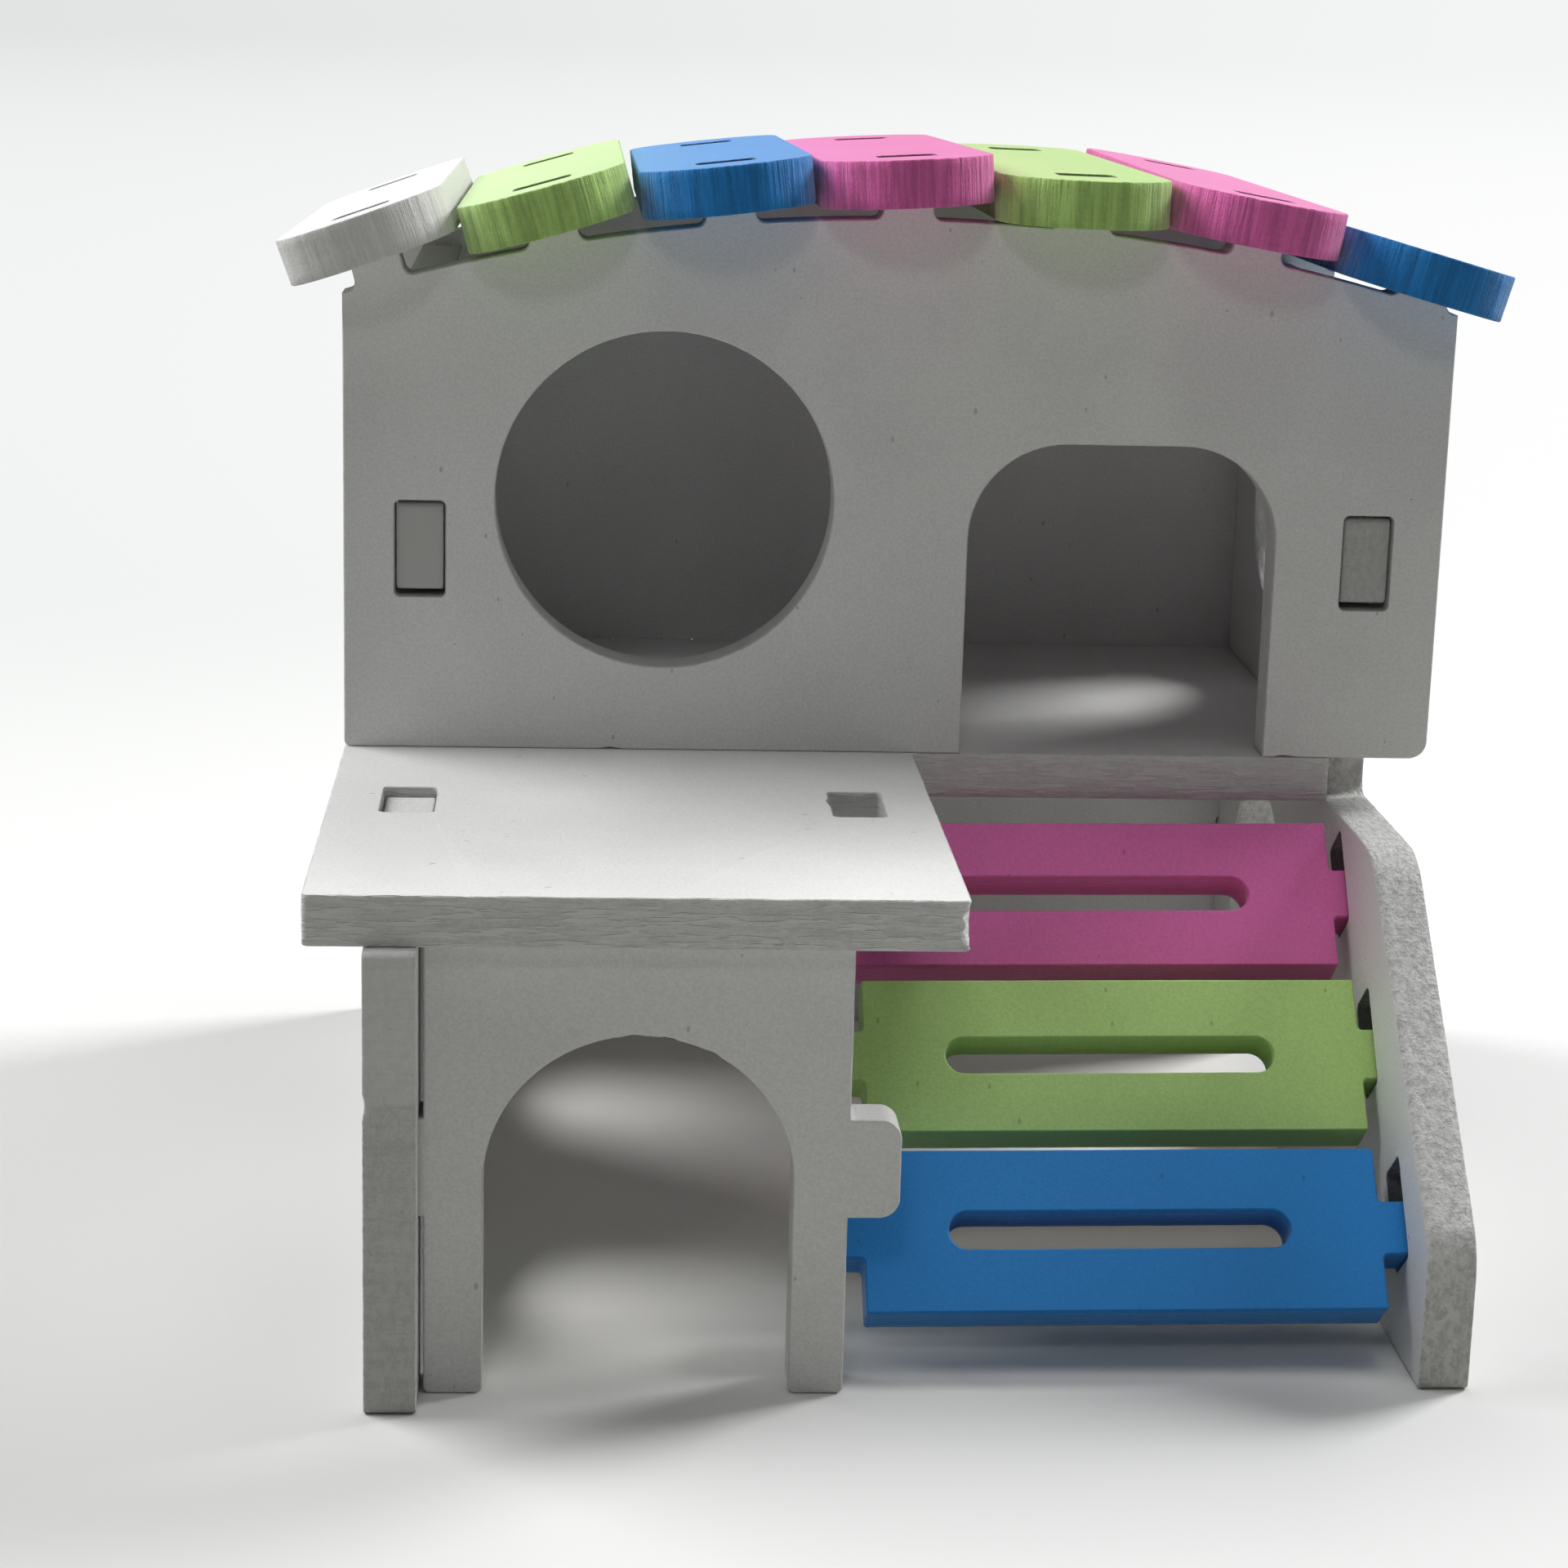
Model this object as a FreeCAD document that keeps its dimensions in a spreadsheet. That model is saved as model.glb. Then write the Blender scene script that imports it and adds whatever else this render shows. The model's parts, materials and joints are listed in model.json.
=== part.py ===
import FreeCAD, Part
import math
import os
import re

import Sketcher

# Flat-pack house for a dwarf hamster: two storeys of slotted 5 mm boards, a porch with a
# landing, three slats as a stair, and a roof of seven loose boards hung on radial tabs.
# Millimetres, +Z up, the entrance faces -Y. The origin lies on the ground, under the middle.

SIZES = {
    # boards and joints
    "board": 5.0,  # thickness of every piece
    "slot_gap": 0.2,  # play of a tenon in its slot, on each side
    "tenon": 10.0,  # length of a tenon along the edge of its board
    "slot_round": 0.6,  # corners of a slot, small enough for the square tenon in it
    "arris": 0.7,  # rounding of an outer corner
    "tab_reserve": 0.4,  # how far the landing's tab stays below the landing's face
    # house
    "front_width": 120.0,
    "room_depth": 66.8,  # outside, over the front and the back wall
    "side_inset": 5.75,  # from the end of a long wall to the outside of a side wall
    "storey": 46.0,  # height of the lower rooms
    "side_top": 100.3,  # top edge of the side walls
    "upper_tenon": 73.0,  # middle heights of the tenons of the side walls
    "lower_tenon": 23.2,
    "deck_tab": 25.0,  # tabs at the back of the deck, from the middle
    "wall_corner": 2.0,
    # arched tops of the long walls
    "wall_top": 109.3,
    "back_drop": 1.0,  # how far the back wall's arch stays below the front wall's
    "arch_radius": 205.0,
    "tab_pitch": 5.27,  # degrees between two tabs
    "tab_count": 7,
    "tab_width": 5.4,
    "tab_height": 4.8,
    "tab_root": 1.0,  # rounding between a tab and the arch
    # openings of the front wall
    "window_left": 25.4,
    "window_level": 78.6,
    "window_radius": 18.3,
    "door_right": 24.6,
    "door_width": 33.8,
    "door_height": 34.5,
    "door_round": 10.5,
    # openings of the side walls
    "side_window_depth": 39.5,
    "side_window_level": 72.5,
    "side_window_radius": 10.9,
    "low_window_level": 24.0,
    "low_window_room": 33.0,
    "low_window_porch": 28.0,
    "mouse_depth": 36.5,
    "mouse_radius": 15.2,
    "mouse_spring": 24.1,
    # porch
    "porch_depth": 60.0,
    "deck_width": 62.5,
    "rail_tab": 23.45,  # landing slots, in front of the front wall
    "left_toe": 1.9,  # how far the left wall reaches out before the landing
    "bay_middle": 5.5,  # slot line at the open end of the porch, left of the middle
    "panel_reach": 56.8,
    "panel_slack": 0.45,
    "free_tab_round": 2.0,
    "landing_round": 1.0,  # inner corner between the landing and the front wall
    "porch_arch_left": 28.25,
    "porch_arch_radius": 14.85,
    "porch_arch_spring": 21.6,
    # stringer, the forward part of the right wall
    "stringer_reach": 56.0,
    "shelf_reach": 21.7,
    "toe_height": 14.6,
    "shelf_round": 10.0,
    "toe_round": 7.0,
    "notch_round": 1.5,
    # slats
    "slat_length": 52.3,
    "slat_width": 17.0,
    "slat_tilt": 50.0,
    "slat_sag": 0.6,
    "slat_tenon": 5.6,
    "slat_first_depth": 11.46,
    "slat_first_level": 38.59,
    "slat_run": 17.4,
    "slat_drop": 12.6,
    "slat_slot_length": 34.5,
    "slat_slot_width": 3.9,
    "slat_slot_offset": 0.3,  # how far the slot lies left of the slat's middle
    "slat_corner": 0.35,
    "slat_root": 0.5,  # inner corners beside the slat's tenons
    # roof boards
    "eave": 10.0,
    "roof_width": 18.5,
    "roof_play": 0.36,  # play of a tab in a roof board's slot, to its left and right
}

# How each roof board lies on its tabs, from left to right: its lean away from the arch in
# degrees, positive when its right edge is low, its rise above the front and back wall, and
# how far its middle line lies to the left of its slots.
ROOF_LIE = (
    (-4.0, 2.6, 2.4, 0.0),
    (-5.7, 1.45, 1.15, 0.1),
    (-1.7, 1.4, 0.85, 0.2),
    (-3.6, 1.55, 0.95, 0.35),
    (-4.2, 0.8, 1.0, 0.55),
    (-1.3, 1.6, 2.2, 0.85),
    (-0.6, 0.5, 0.7, 0.85),
)
# The slats from top to bottom, each with the gap between its shoulder and the stringer.
SLATS = (("slat_pink", 1.55), ("slat_green", 1.4), ("slat_blue", 2.4))
SMOOTH = "smooth"
HOLLOW = "hollow"

# Planes of the house, each written once as a formula on the sheet's sizes.
FRONT = "((left_toe + porch_depth - room_depth - eave) / 2)"
FRONT_IN = f"({FRONT} + board)"
BACK = f"({FRONT} + room_depth)"
BACK_IN = f"({BACK} - board)"
PORCH = f"({FRONT} - porch_depth)"
DECK_TOP = "(storey + board)"
HALF = "(front_width / 2)"
SIDE = f"({HALF} - side_inset)"
SIDE_IN = f"({SIDE} - board)"
SIDE_MIDDLE = f"({SIDE} - board / 2)"
BAY = "(-bay_middle)"
ARCH_CENTRE = "(wall_top - arch_radius)"
BACK_CENTRE = f"({ARCH_CENTRE} - back_drop)"
ROOM_MIDDLE = f"(({FRONT_IN} + {BACK_IN}) / 2)"
RAIL_TAB = f"({FRONT} - rail_tab)"
PANEL = f"({FRONT} - panel_reach)"

doc = FreeCAD.newDocument("hamster_house")
sheet = doc.addObject("Spreadsheet::Sheet", "Sizes")
for number, (lean, front_rise, back_rise, offset) in enumerate(ROOF_LIE, 1):
    SIZES[f"lean_{number}"] = lean
    SIZES[f"front_rise_{number}"] = front_rise
    SIZES[f"back_rise_{number}"] = back_rise
    SIZES[f"offset_{number}"] = offset
for label, slack in SLATS:
    SIZES[f"{label}_slack"] = slack
for row, (name, size) in enumerate(SIZES.items(), 1):
    sheet.set(f"A{row}", name)
    sheet.set(f"B{row}", str(size))
    sheet.setAlias(f"B{row}", name)
doc.recompute()


def linked(formula):
    """The formula with each size written as a cell of the sheet."""
    return re.sub(r"[a-z]\w*", lambda w: f"Sizes.{w[0]}" if w[0] in SIZES else w[0], formula)


def number_of(formula):
    """The present value of a formula."""
    found = sheet.evalExpression(linked(formula))
    return float(getattr(found, "Value", found))


def bind(thing, path, formula):
    thing.setExpression(path, linked(formula))


def start_sketch(body, name, role, level, across="0", up="0", turn="0"):
    """A sketch on one of the body's own planes, moved and turned within the plane."""
    plane = next(f for f in body.Origin.OriginFeatures if f.Role == role)
    sketch = body.newObject("Sketcher::SketchObject", name)
    sketch.AttachmentSupport = (plane, [""])
    sketch.MapMode = "FlatFace"
    offset = f"placement(vector({across}; {up}; {level}); rotation({turn}; 0; 0))"
    bind(sketch, "AttachmentOffset", offset)
    return sketch


def pin_point(sketch, geometry, end, across, up):
    """Ties a point of the sketch to the sheet, measured from the sketch's origin."""
    for kind, formula in (("DistanceX", across), ("DistanceY", up)):
        size = number_of(formula)
        index = sketch.addConstraint(Sketcher.Constraint(kind, -1, 1, geometry, end, size))
        bind(sketch, f"Constraints[{index}]", formula)


def arc_centre(start, end, heading, radius, hollow):
    """Centre of an arc from start to end that bulges out of the loop, or into it if hollow,
    with the given radius, or else tangent to the side that arrives with this heading."""
    chord = end - start
    if radius is None:
        left = FreeCAD.Vector(-heading.y, heading.x, 0).normalize()
        return start + left * (chord.Length**2 / (2 * chord.dot(left)))
    inward = FreeCAD.Vector(-chord.y, chord.x, 0).normalize()
    reach = math.sqrt(radius**2 - chord.Length**2 / 4)
    return (start + end) / 2 + inward * (-reach if hollow else reach)


def draw_loop(sketch, points):
    """A closed loop, counter-clockwise. A point is (across, up), or (across, up, bend) where
    the side that leaves it is an arc: bend is its radius, or SMOOTH if the arc is tangent to
    the straight side before it. A fourth value, HOLLOW, turns the arc into the loop."""
    places = [FreeCAD.Vector(number_of(p[0]), number_of(p[1]), 0) for p in points]
    first = sketch.GeometryCount
    for step, point in enumerate(points):
        start, end = places[step], places[(step + 1) % len(points)]
        if len(point) == 2:
            sketch.addGeometry(Part.LineSegment(start, end))
            continue
        radius = None if point[2] == SMOOTH else number_of(point[2])
        hollow = HOLLOW in point
        centre = arc_centre(start, end, start - places[step - 1], radius, hollow)
        ends = (end, start) if hollow else (start, end)
        angles = [math.atan2(p.y - centre.y, p.x - centre.x) for p in ends]
        circle = Part.Circle(centre, FreeCAD.Vector(0, 0, 1), (start - centre).Length)
        sketch.addGeometry(Part.ArcOfCircle(circle, *angles))
    for step, point in enumerate(points):
        side = first + step
        before = first + (step - 1) % len(points)
        tail = 2 if HOLLOW in point else 1
        head = 1 if HOLLOW in points[step - 1] else 2
        bend = point[2] if len(point) > 2 else None
        joint = "Tangent" if bend == SMOOTH else "Coincident"
        sketch.addConstraint(Sketcher.Constraint(joint, before, head, side, tail))
        pin_point(sketch, side, tail, point[0], point[1])
        if bend and bend != SMOOTH:
            index = sketch.addConstraint(Sketcher.Constraint("Radius", side, number_of(bend)))
            bind(sketch, f"Constraints[{index}]", bend)


def draw_circle(sketch, across, up, radius):
    centre = FreeCAD.Vector(number_of(across), number_of(up), 0)
    circle = Part.Circle(centre, FreeCAD.Vector(0, 0, 1), number_of(radius))
    side = sketch.addGeometry(circle)
    pin_point(sketch, side, 3, across, up)
    index = sketch.addConstraint(Sketcher.Constraint("Radius", side, number_of(radius)))
    bind(sketch, f"Constraints[{index}]", radius)


def rectangle(across, up, width, height):
    """Corners of a rectangle about its middle."""
    left, right = f"{across} - ({width}) / 2", f"{across} + ({width}) / 2"
    low, high = f"{up} - ({height}) / 2", f"{up} + ({height}) / 2"
    return [(left, low), (right, low), (right, high), (left, high)]


def mouse_hole(across, low, spring, radius):
    """A doorway with a half-round top."""
    left, right = f"{across} - {radius}", f"{across} + {radius}"
    return [(left, low), (right, low), (right, spring, SMOOTH), (left, spring)]


def slot(across, up, width, height, play="2 * slot_gap"):
    """A slot with rounded corners about its middle, wider than its tenon by the play."""
    corners = rectangle(across, up, f"{width} + {play}", f"{height} + 2 * slot_gap")
    (left, low), (right, high) = corners[0], corners[2]
    return [
        (f"{left} + slot_round", low),
        (f"{right} - slot_round", low, SMOOTH),
        (right, f"{low} + slot_round"),
        (right, f"{high} - slot_round", SMOOTH),
        (f"{right} - slot_round", high),
        (f"{left} + slot_round", high, SMOOTH),
        (left, f"{high} - slot_round"),
        (left, f"{low} + slot_round", SMOOTH),
    ]


def start_panel(label, role, level, outline):
    """A board: its outline on one plane of its body, padded to the board's thickness."""
    body = doc.addObject("PartDesign::Body", label)
    body.Label = label
    sketch = start_sketch(body, f"{label}_outline", role, level)
    draw_loop(sketch, outline)
    pad = body.newObject("PartDesign::Pad", f"{label}_board")
    pad.Profile = sketch
    bind(pad, "Length", "board")
    doc.recompute()
    return body


def cut_through(body, name, role, level, loops, circles=(), **shift):
    """Pockets through the board, from the plane that its outline was drawn on."""
    before = body.Shape.Volume
    sketch = start_sketch(body, f"{body.Label}_{name}_lines", role, level, **shift)
    for loop in loops:
        draw_loop(sketch, loop)
    for circle in circles:
        draw_circle(sketch, *circle)
    pocket = body.newObject("PartDesign::Pocket", f"{body.Label}_{name}")
    pocket.Profile = sketch
    pocket.Reversed = True
    bind(pocket, "Length", "board")
    doc.recompute()
    assert body.Shape.Volume < before, f"{name} cuts nothing from {body.Label}"


def corner_edges(body, axis, hollow, spots=None):
    """Names of the edges through the board's thickness between two flat faces, on its inner
    corners (hollow) or its outer ones, at the given spots of the outline if there are any."""
    shape = body.Shape
    thickness = number_of("board")
    names = []
    for count, edge in enumerate(shape.Edges, 1):
        ends = edge.Vertexes
        if len(ends) != 2 or abs(edge.Length - thickness) > 1e-4:
            continue
        along = ends[1].Point - ends[0].Point
        faces = shape.ancestorsOfType(edge, Part.Face)
        if abs(along.dot(axis)) < thickness - 1e-4 or len(faces) != 2:
            continue
        if not all(isinstance(f.Surface, Part.Plane) for f in faces):
            continue
        middle = (ends[0].Point + ends[1].Point) / 2
        normals = [f.normalAt(*f.Surface.parameter(middle)) for f in faces]
        if normals[0].getAngle(normals[1]) < math.radians(12):
            continue
        probe = middle + (normals[0] - normals[1]).normalize() * 0.05
        if shape.isInside(probe, 1e-6, False) != hollow:
            continue
        if spots and min(middle.sub(s).cross(axis).Length for s in spots) > 0.05:
            continue
        names.append(f"Edge{count}")
    return names


def round_corners(body, name, axis, radius, hollow, spots=None):
    names = corner_edges(body, axis, hollow, spots)
    if not names:
        return
    base = body.Tip
    fillet = body.newObject("PartDesign::Fillet", f"{body.Label}_{name}")
    fillet.Base = (base, names)
    bind(fillet, "Radius", radius)
    doc.recompute()


def spot(x="0", y="0", z="0"):
    return FreeCAD.Vector(number_of(x), number_of(y), number_of(z))


def finish_corners(body, axis):
    """A small rounding on every outer corner of the outline."""
    round_corners(body, "outer_corners", axis, "arris", False)


ALONG_X = FreeCAD.Vector(1, 0, 0)
ALONG_Y = FreeCAD.Vector(0, 1, 0)
ALONG_Z = FreeCAD.Vector(0, 0, 1)


def make_long_wall(label, face, bottom, centre):
    """A wall with an arched top and radial tabs that the roof boards hang on."""
    level = f"-({face} + board)"
    arch_end = f"{centre} + sqrt(arch_radius ^ 2 - {HALF} ^ 2)"
    outline = [
        (f"-{HALF}", bottom),
        (HALF, bottom),
        (HALF, arch_end, "arch_radius"),
        (f"-{HALF}", arch_end),
    ]
    wall = start_panel(label, "XZ_Plane", level, outline)
    sketch = start_sketch(
        wall,
        f"{label}_tab_lines",
        "XZ_Plane",
        level,
        up=centre,
        turn="-tab_pitch * (tab_count - 1) / 2",
    )
    # The tab's sides run into the arch through roundings that touch both of them.
    inside = "arch_radius - board"
    tip = "arch_radius + tab_height"
    round_across = "(tab_width / 2 + tab_root)"
    round_up = f"sqrt((arch_radius + tab_root) ^ 2 - {round_across} ^ 2)"
    share = "arch_radius / (arch_radius + tab_root)"
    foot = f"{round_across} * {share}"
    foot_up = f"{round_up} * {share}"
    tab_outline = [
        (f"-{foot}", inside),
        (foot, inside),
        (foot, foot_up, "tab_root", HOLLOW),
        ("tab_width / 2", round_up),
        ("tab_width / 2", tip),
        ("-tab_width / 2", tip),
        ("-tab_width / 2", round_up, "tab_root", HOLLOW),
        (f"-{foot}", foot_up),
    ]
    draw_loop(sketch, tab_outline)
    tab = wall.newObject("PartDesign::Pad", f"{label}_tab")
    tab.Profile = sketch
    bind(tab, "Length", "board")
    doc.recompute()
    tabs = wall.newObject("PartDesign::PolarPattern", f"{label}_tabs")
    tabs.Originals = [tab]
    tabs.Axis = (sketch, ["N_Axis"])
    bind(tabs, "Angle", "tab_pitch * (tab_count - 1)")
    bind(tabs, "Occurrences", "tab_count")
    wall.Tip = tabs
    doc.recompute()
    return wall


def make_front_wall():
    wall = make_long_wall("front_wall", FRONT, DECK_TOP, ARCH_CENTRE)
    level = f"-{FRONT_IN}"
    door_left = "door_right - door_width / 2"
    door_far = "door_right + door_width / 2"
    door_top = f"{DECK_TOP} + door_height"
    door = [
        (door_left, DECK_TOP),
        (door_far, DECK_TOP),
        (door_far, f"{door_top} - door_round", SMOOTH),
        (f"{door_far} - door_round", door_top),
        (f"{door_left} + door_round", door_top, SMOOTH),
        (door_left, f"{door_top} - door_round"),
    ]
    window = ("-window_left", "window_level", "window_radius")
    slots = [slot(f"{s}{SIDE_MIDDLE}", "upper_tenon", "board", "tenon") for s in ("", "-")]
    cut_through(wall, "slots", "XZ_Plane", level, slots)
    round_corners(wall, "low_corner", ALONG_Y, "wall_corner", False, [spot(x=HALF, z=DECK_TOP)])
    finish_corners(wall, ALONG_Y)
    # The door comes last, so that its foot keeps sharp corners on the deck.
    cut_through(wall, "openings", "XZ_Plane", level, [door], [window])
    return wall


def make_back_wall():
    wall = make_long_wall("back_wall", BACK_IN, "0", BACK_CENTRE)
    slots = []
    for s in ("", "-"):
        for height in ("upper_tenon", "lower_tenon"):
            slots.append(slot(f"{s}{SIDE_MIDDLE}", height, "board", "tenon"))
        slots.append(slot(f"{s}deck_tab", "storey + board / 2", "tenon", "board"))
    cut_through(wall, "slots", "XZ_Plane", f"-{BACK}", slots)
    finish_corners(wall, ALONG_Y)
    return wall


def tab_out(across, up, length):
    """Four points of a tab that leaves an upright edge, from low to high."""
    low, high = f"{up} - tenon / 2", f"{up} + tenon / 2"
    out = f"{across} + {length}"
    return [(across, low), (out, low), (out, high), (across, high)]


def room_edge():
    """The part of a side wall's outline that both side walls share: up the back edge with
    its tenons, forward along the top, and down the front edge with its tenon."""
    return [
        (BACK_IN, "0"),
        *tab_out(BACK_IN, "lower_tenon", "board"),
        *tab_out(BACK_IN, "upper_tenon", "board"),
        (BACK_IN, "side_top"),
        (FRONT_IN, "side_top"),
        *reversed(tab_out(FRONT_IN, "upper_tenon", "-board")),
        (FRONT_IN, "storey"),
    ]


def side_slots():
    """The slot for the deck's tab in a side wall."""
    return [slot(ROOM_MIDDLE, "storey + board / 2", "tenon", "board")]


def side_window():
    return (f"{FRONT} + side_window_depth", "side_window_level", "side_window_radius")


def make_left_wall():
    tab_top = f"{DECK_TOP} - tab_reserve"
    toe = f"{PORCH} - left_toe"
    outline = [
        (toe, "0"),
        *room_edge(),
        (f"{RAIL_TAB} + tenon / 2", "storey"),
        (f"{RAIL_TAB} + tenon / 2", tab_top),
        (f"{RAIL_TAB} - tenon / 2", tab_top),
        (f"{RAIL_TAB} - tenon / 2", "storey"),
        (toe, "storey"),
    ]
    level = f"-{SIDE}"
    wall = start_panel("left_wall", "YZ_Plane", level, outline)
    panel_slot = slot(f"{PANEL} + board / 2", "lower_tenon", "board", "tenon")
    cut_through(wall, "slots", "YZ_Plane", level, [*side_slots(), panel_slot])
    windows = [
        side_window(),
        (f"{FRONT} + low_window_room", "low_window_level", "side_window_radius"),
        (f"{FRONT} - low_window_porch", "low_window_level", "side_window_radius"),
    ]
    cut_through(wall, "windows", "YZ_Plane", level, [], windows)
    finish_corners(wall, ALONG_X)
    return wall


def slat_place(step):
    """Where the middle of a slat's outer face lies, as depth and height."""
    depth = f"({FRONT} - slat_first_depth - {step} * slat_run)"
    height = f"(slat_first_level - {step} * slat_drop)"
    return depth, height


def make_right_wall():
    toe = f"{FRONT} - stringer_reach"
    shelf = f"{FRONT} - shelf_reach"
    outline = [(toe, "0"), *room_edge(), (shelf, "storey"), (toe, "toe_height")]
    wall = start_panel("right_wall", "YZ_Plane", SIDE_IN, outline)
    arch = mouse_hole(f"({FRONT} + mouse_depth)", "0", "mouse_spring", "mouse_radius")
    cut_through(wall, "openings", "YZ_Plane", SIDE_IN, [arch], [side_window()])
    cut_through(wall, "deck_slot", "YZ_Plane", SIDE_IN, side_slots())
    # The slots are longer than the slats' tenons, which rest at their lower ends.
    tenon_slot = slot("(tenon - slat_tenon) / 2", "-board / 2", "tenon", "board")
    for step, (label, slack) in enumerate(SLATS):
        depth, height = slat_place(step)
        turned = {"across": depth, "up": height, "turn": "slat_tilt"}
        cut_through(wall, f"slot_of_{label}", "YZ_Plane", SIDE_IN, [tenon_slot], **turned)
    rounds = (
        ("shelf_round", shelf, "storey", False),
        ("toe_round", toe, "toe_height", False),
        ("notch_round", FRONT_IN, "storey", True),
    )
    for size, depth, height, hollow in rounds:
        round_corners(wall, size, ALONG_X, size, hollow, [spot(y=depth, z=height)])
    finish_corners(wall, ALONG_X)
    return wall


def make_deck():
    """Floor of the upper room and landing over the porch, in one board."""
    right = f"deck_width - {HALF}"
    back_tabs = []
    for s in ("", "-"):
        near, far = f"{s}deck_tab + tenon / 2", f"{s}deck_tab - tenon / 2"
        back_tabs += [(near, BACK_IN), (near, BACK), (far, BACK), (far, BACK_IN)]
    outline = [
        (f"-{HALF}", PORCH),
        (right, PORCH),
        (right, FRONT),
        (SIDE_IN, FRONT),
        *tab_out(SIDE_IN, ROOM_MIDDLE, "board"),
        (SIDE_IN, BACK_IN),
        *back_tabs,
        (f"-{SIDE_IN}", BACK_IN),
        *reversed(tab_out(f"-{SIDE_IN}", ROOM_MIDDLE, "-board")),
        (f"-{SIDE_IN}", FRONT_IN),
        (f"-{HALF}", FRONT_IN),
    ]
    deck = start_panel("deck", "XY_Plane", "storey", outline)
    slots = [slot(x, RAIL_TAB, "board", "tenon") for x in (f"-{SIDE_MIDDLE}", BAY)]
    cut_through(deck, "slots", "XY_Plane", "storey", slots)
    inner = spot(x=right, y=FRONT)
    round_corners(deck, "inner_corner", ALONG_Z, "landing_round", True, [inner])
    finish_corners(deck, ALONG_Z)
    return deck


def make_arch_panel():
    left = f"(panel_slack - {SIDE_IN})"
    right = f"({BAY} - board / 2)"
    level = f"-({PANEL} + board)"
    outline = [
        (left, "0"),
        (right, "0"),
        *tab_out(right, "lower_tenon", "board"),
        (right, "storey"),
        (left, "storey"),
        *reversed(tab_out(left, "lower_tenon", "-board")),
    ]
    panel = start_panel("arch_panel", "XZ_Plane", level, outline)
    arch = mouse_hole("-porch_arch_left", "0", "porch_arch_spring", "porch_arch_radius")
    cut_through(panel, "arch", "XZ_Plane", level, [arch])
    tip = f"{right} + board"
    tip_corners = [spot(x=tip, z=f"lower_tenon {sign} tenon / 2") for sign in "+-"]
    round_corners(panel, "free_tab", ALONG_Y, "free_tab_round", False, tip_corners)
    finish_corners(panel, ALONG_Y)
    return panel


def make_slat(label, step):
    """A stair slat, drawn flat with its right shoulder at 0, then tilted into its slot."""
    half = "slat_width / 2"
    near = "slat_tenon / 2"
    outline = [
        ("-slat_length", f"-{half}"),
        ("0", f"-{half}"),
        ("0", f"-{near}"),
        ("board", f"-{near}"),
        ("board", near),
        ("0", near),
        ("0", half),
        ("-slat_length", half),
        ("-slat_length", near),
        ("-slat_length - board", near),
        ("-slat_length - board", f"-{near}"),
        ("-slat_length", f"-{near}"),
    ]
    slat = start_panel(label, "XY_Plane", "-board", outline)
    reach = "(slat_slot_length - slat_slot_width) / 2"
    middle = "(-slat_length / 2 - slat_slot_offset)"
    right, left = f"{middle} + {reach}", f"{middle} - {reach}"
    side = "slat_slot_width / 2"
    grip = [(left, f"-{side}"), (right, f"-{side}", SMOOTH), (right, side), (left, side, SMOOTH)]
    cut_through(slat, "grip", "XY_Plane", "-board", [grip])
    round_corners(slat, "roots", ALONG_Z, "slat_root", True)
    round_corners(slat, "corners", ALONG_Z, "slat_corner", False)
    depth, height = slat_place(step)
    place = f"vector({SIDE_IN} - {label}_slack; {depth}; {height})"
    bind(slat, "Placement", f"placement({place}; rotation(0; -slat_sag; slat_tilt))")
    return slat


def tab_seat(number, end, centre, angle, lie):
    """Where the middle of a roof board's slot lies, on the board's underside. The slot is
    centred on the tab halfway up the tab's stretch inside the board."""
    meet = f"(arch_radius + (tab_height + {end}_rise_{number}) / 2)"
    inside = f"((tab_height - {end}_rise_{number}) / 2)"
    across = f"({meet} * sin({angle}) - {inside} * sin({lie}))"
    height = f"({centre} + {meet} * cos({angle}) - {inside} * cos({lie}))"
    return across, height


def make_roof_board(number):
    """A roof board, drawn flat about its slot over the front wall, then laid on its tabs."""
    label = f"roof_board_{number}"
    half = "roof_width / 2"
    right, left = f"{half} - offset_{number}", f"-{half} - offset_{number}"
    front = f"{half} - eave - board / 2"
    back = f"room_depth - board / 2 + eave - {half}"
    outline = [(left, front, SMOOTH), (right, front), (right, back, SMOOTH), (left, back)]
    board = start_panel(label, "XY_Plane", "0", outline)
    span = "(room_depth - board)"
    slots = [slot("0", y, "tab_width", "board", "2 * roof_play") for y in ("0", span)]
    cut_through(board, "slots", "XY_Plane", "0", slots)
    angle = f"tab_pitch * ({number} - (tab_count + 1) / 2)"
    lie = f"({angle} + lean_{number})"
    across, height = tab_seat(number, "front", ARCH_CENTRE, angle, lie)
    back_across, back_height = tab_seat(number, "back", BACK_CENTRE, angle, lie)
    drop = f"({height} - {back_height})"
    fall = f"atan({drop} / ({span} * cos({lie})))"
    yaw = f"atan(({across} - {back_across} - {drop} * tan({lie})) / {span})"
    place = f"vector({across}; {FRONT} + board / 2; {height})"
    turn = f"rotation({yaw}; {lie}; -{fall})"
    bind(board, "Placement", f"placement({place}; {turn})")
    return board


pieces = [
    make_front_wall(),
    make_back_wall(),
    make_left_wall(),
    make_right_wall(),
    make_deck(),
    make_arch_panel(),
    *(make_slat(label, step) for step, (label, slack) in enumerate(SLATS)),
    *(make_roof_board(number) for number in range(1, len(ROOF_LIE) + 1)),
]
doc.recompute()

for thing in doc.Objects:
    broken = "Invalid" in thing.State or "Error" in thing.State
    assert not broken, f"{thing.Label} failed"
for piece in pieces:
    assert not piece.Shape.isNull() and piece.Shape.isValid(), piece.Label
    assert len(piece.Shape.Solids) == 1, f"{piece.Label} is not one solid"

os.makedirs("parts", exist_ok=True)
for piece in pieces:
    piece.Shape.exportStep(f"parts/{piece.Label}.step")
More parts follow.
